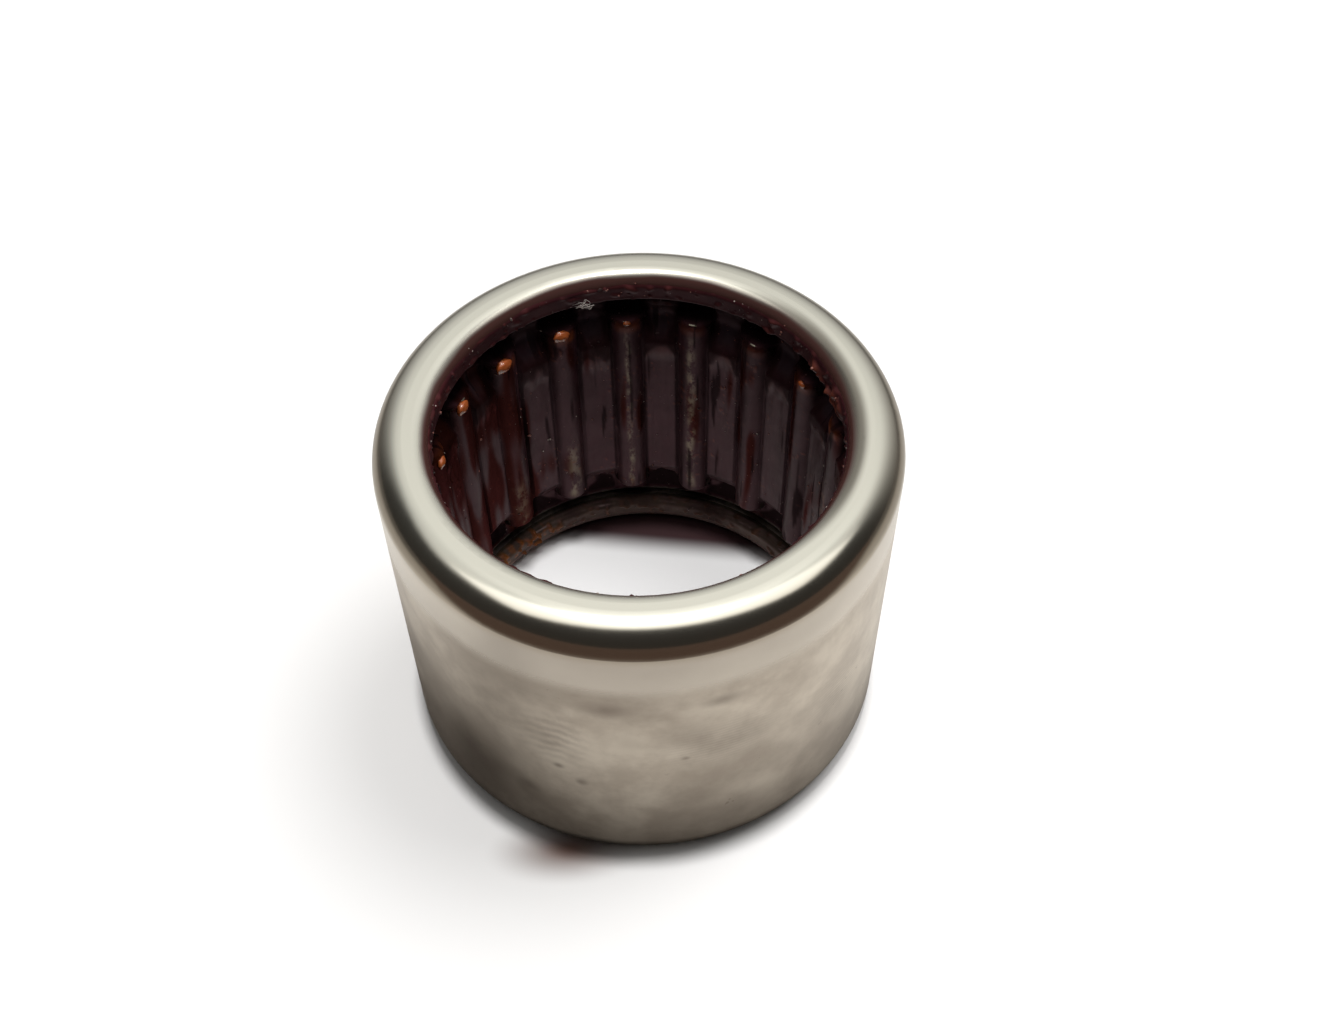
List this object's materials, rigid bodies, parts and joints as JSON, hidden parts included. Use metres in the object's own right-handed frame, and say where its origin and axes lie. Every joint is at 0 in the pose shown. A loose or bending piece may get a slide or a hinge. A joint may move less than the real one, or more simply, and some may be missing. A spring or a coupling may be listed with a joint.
{
  "type": "drawn cup needle roller bearing",
  "caption": "Thin pressed steel ring with curled lips that holds a row of caged needle rollers, so that a shaft turns freely in a plain housing bore.",
  "frame": {"origin": "centre of the lower end face, on the bearing's axis", "axes": "+Z along the bearing's axis, +X midway between two needles"},
  "size_m": [0.026, 0.026, 0.02],
  "materials": {
    "cup": "satin ground steel, polished lips",
    "cage": "pressed steel sheet under a film of grease",
    "needle": "ground and greased",
    "grease": "wet, translucent red-brown"
  },
  "bodies": {
    "cup": {"cup": "cup"},
    "cage": {"cage": "cage"},
    "needle_01": {"needle_01": "needle"},
    "needle_02": {"needle_02": "needle"},
    "needle_03": {"needle_03": "needle"},
    "needle_04": {"needle_04": "needle"},
    "needle_05": {"needle_05": "needle"},
    "needle_06": {"needle_06": "needle"},
    "needle_07": {"needle_07": "needle"},
    "needle_08": {"needle_08": "needle"},
    "needle_09": {"needle_09": "needle"},
    "needle_10": {"needle_10": "needle"},
    "needle_11": {"needle_11": "needle"},
    "needle_12": {"needle_12": "needle"},
    "needle_13": {"needle_13": "needle"},
    "needle_14": {"needle_14": "needle"},
    "needle_15": {"needle_15": "needle"},
    "needle_16": {"needle_16": "needle"},
    "needle_17": {"needle_17": "needle"},
    "needle_18": {"needle_18": "needle"}
  },
  "joints": [
    {"name": "cage_turn", "type": "hinge", "parent": "cup", "child": "cage", "pos_m": [0, 0, 0.01], "axis": [0, 0, 1], "continuous": true},
    {"name": "needle_01_roll", "type": "hinge", "parent": "cage", "child": "needle_01", "pos_m": [0.01083, 0.00191, 0.01], "axis": [0, 0, 1], "continuous": true},
    {"name": "needle_02_roll", "type": "hinge", "parent": "cage", "child": "needle_02", "pos_m": [0.00953, 0.0055, 0.01], "axis": [0, 0, 1], "continuous": true},
    {"name": "needle_03_roll", "type": "hinge", "parent": "cage", "child": "needle_03", "pos_m": [0.00707, 0.00843, 0.01], "axis": [0, 0, 1], "continuous": true},
    {"name": "needle_04_roll", "type": "hinge", "parent": "cage", "child": "needle_04", "pos_m": [0.00376, 0.01034, 0.01], "axis": [0, 0, 1], "continuous": true},
    {"name": "needle_05_roll", "type": "hinge", "parent": "cage", "child": "needle_05", "pos_m": [0, 0.011, 0.01], "axis": [0, 0, 1], "continuous": true},
    {"name": "needle_06_roll", "type": "hinge", "parent": "cage", "child": "needle_06", "pos_m": [-0.00376, 0.01034, 0.01], "axis": [0, 0, 1], "continuous": true},
    {"name": "needle_07_roll", "type": "hinge", "parent": "cage", "child": "needle_07", "pos_m": [-0.00707, 0.00843, 0.01], "axis": [0, 0, 1], "continuous": true},
    {"name": "needle_08_roll", "type": "hinge", "parent": "cage", "child": "needle_08", "pos_m": [-0.00953, 0.0055, 0.01], "axis": [0, 0, 1], "continuous": true},
    {"name": "needle_09_roll", "type": "hinge", "parent": "cage", "child": "needle_09", "pos_m": [-0.01083, 0.00191, 0.01], "axis": [0, 0, 1], "continuous": true},
    {"name": "needle_10_roll", "type": "hinge", "parent": "cage", "child": "needle_10", "pos_m": [-0.01083, -0.00191, 0.01], "axis": [0, 0, 1], "continuous": true},
    {"name": "needle_11_roll", "type": "hinge", "parent": "cage", "child": "needle_11", "pos_m": [-0.00953, -0.0055, 0.01], "axis": [0, 0, 1], "continuous": true},
    {"name": "needle_12_roll", "type": "hinge", "parent": "cage", "child": "needle_12", "pos_m": [-0.00707, -0.00843, 0.01], "axis": [0, 0, 1], "continuous": true},
    {"name": "needle_13_roll", "type": "hinge", "parent": "cage", "child": "needle_13", "pos_m": [-0.00376, -0.01034, 0.01], "axis": [0, 0, 1], "continuous": true},
    {"name": "needle_14_roll", "type": "hinge", "parent": "cage", "child": "needle_14", "pos_m": [0, -0.011, 0.01], "axis": [0, 0, 1], "continuous": true},
    {"name": "needle_15_roll", "type": "hinge", "parent": "cage", "child": "needle_15", "pos_m": [0.00376, -0.01034, 0.01], "axis": [0, 0, 1], "continuous": true},
    {"name": "needle_16_roll", "type": "hinge", "parent": "cage", "child": "needle_16", "pos_m": [0.00707, -0.00843, 0.01], "axis": [0, 0, 1], "continuous": true},
    {"name": "needle_17_roll", "type": "hinge", "parent": "cage", "child": "needle_17", "pos_m": [0.00953, -0.0055, 0.01], "axis": [0, 0, 1], "continuous": true},
    {"name": "needle_18_roll", "type": "hinge", "parent": "cage", "child": "needle_18", "pos_m": [0.01083, -0.00191, 0.01], "axis": [0, 0, 1], "continuous": true}
  ],
  "couplings": [
    {"joint": "needle_01_roll", "follows": "cage_turn", "ratio": -12.02},
    {"joint": "needle_02_roll", "follows": "cage_turn", "ratio": -12.02},
    {"joint": "needle_03_roll", "follows": "cage_turn", "ratio": -12.02},
    {"joint": "needle_04_roll", "follows": "cage_turn", "ratio": -12.02},
    {"joint": "needle_05_roll", "follows": "cage_turn", "ratio": -12.02},
    {"joint": "needle_06_roll", "follows": "cage_turn", "ratio": -12.02},
    {"joint": "needle_07_roll", "follows": "cage_turn", "ratio": -12.02},
    {"joint": "needle_08_roll", "follows": "cage_turn", "ratio": -12.02},
    {"joint": "needle_09_roll", "follows": "cage_turn", "ratio": -12.02},
    {"joint": "needle_10_roll", "follows": "cage_turn", "ratio": -12.02},
    {"joint": "needle_11_roll", "follows": "cage_turn", "ratio": -12.02},
    {"joint": "needle_12_roll", "follows": "cage_turn", "ratio": -12.02},
    {"joint": "needle_13_roll", "follows": "cage_turn", "ratio": -12.02},
    {"joint": "needle_14_roll", "follows": "cage_turn", "ratio": -12.02},
    {"joint": "needle_15_roll", "follows": "cage_turn", "ratio": -12.02},
    {"joint": "needle_16_roll", "follows": "cage_turn", "ratio": -12.02},
    {"joint": "needle_17_roll", "follows": "cage_turn", "ratio": -12.02},
    {"joint": "needle_18_roll", "follows": "cage_turn", "ratio": -12.02}
  ]
}
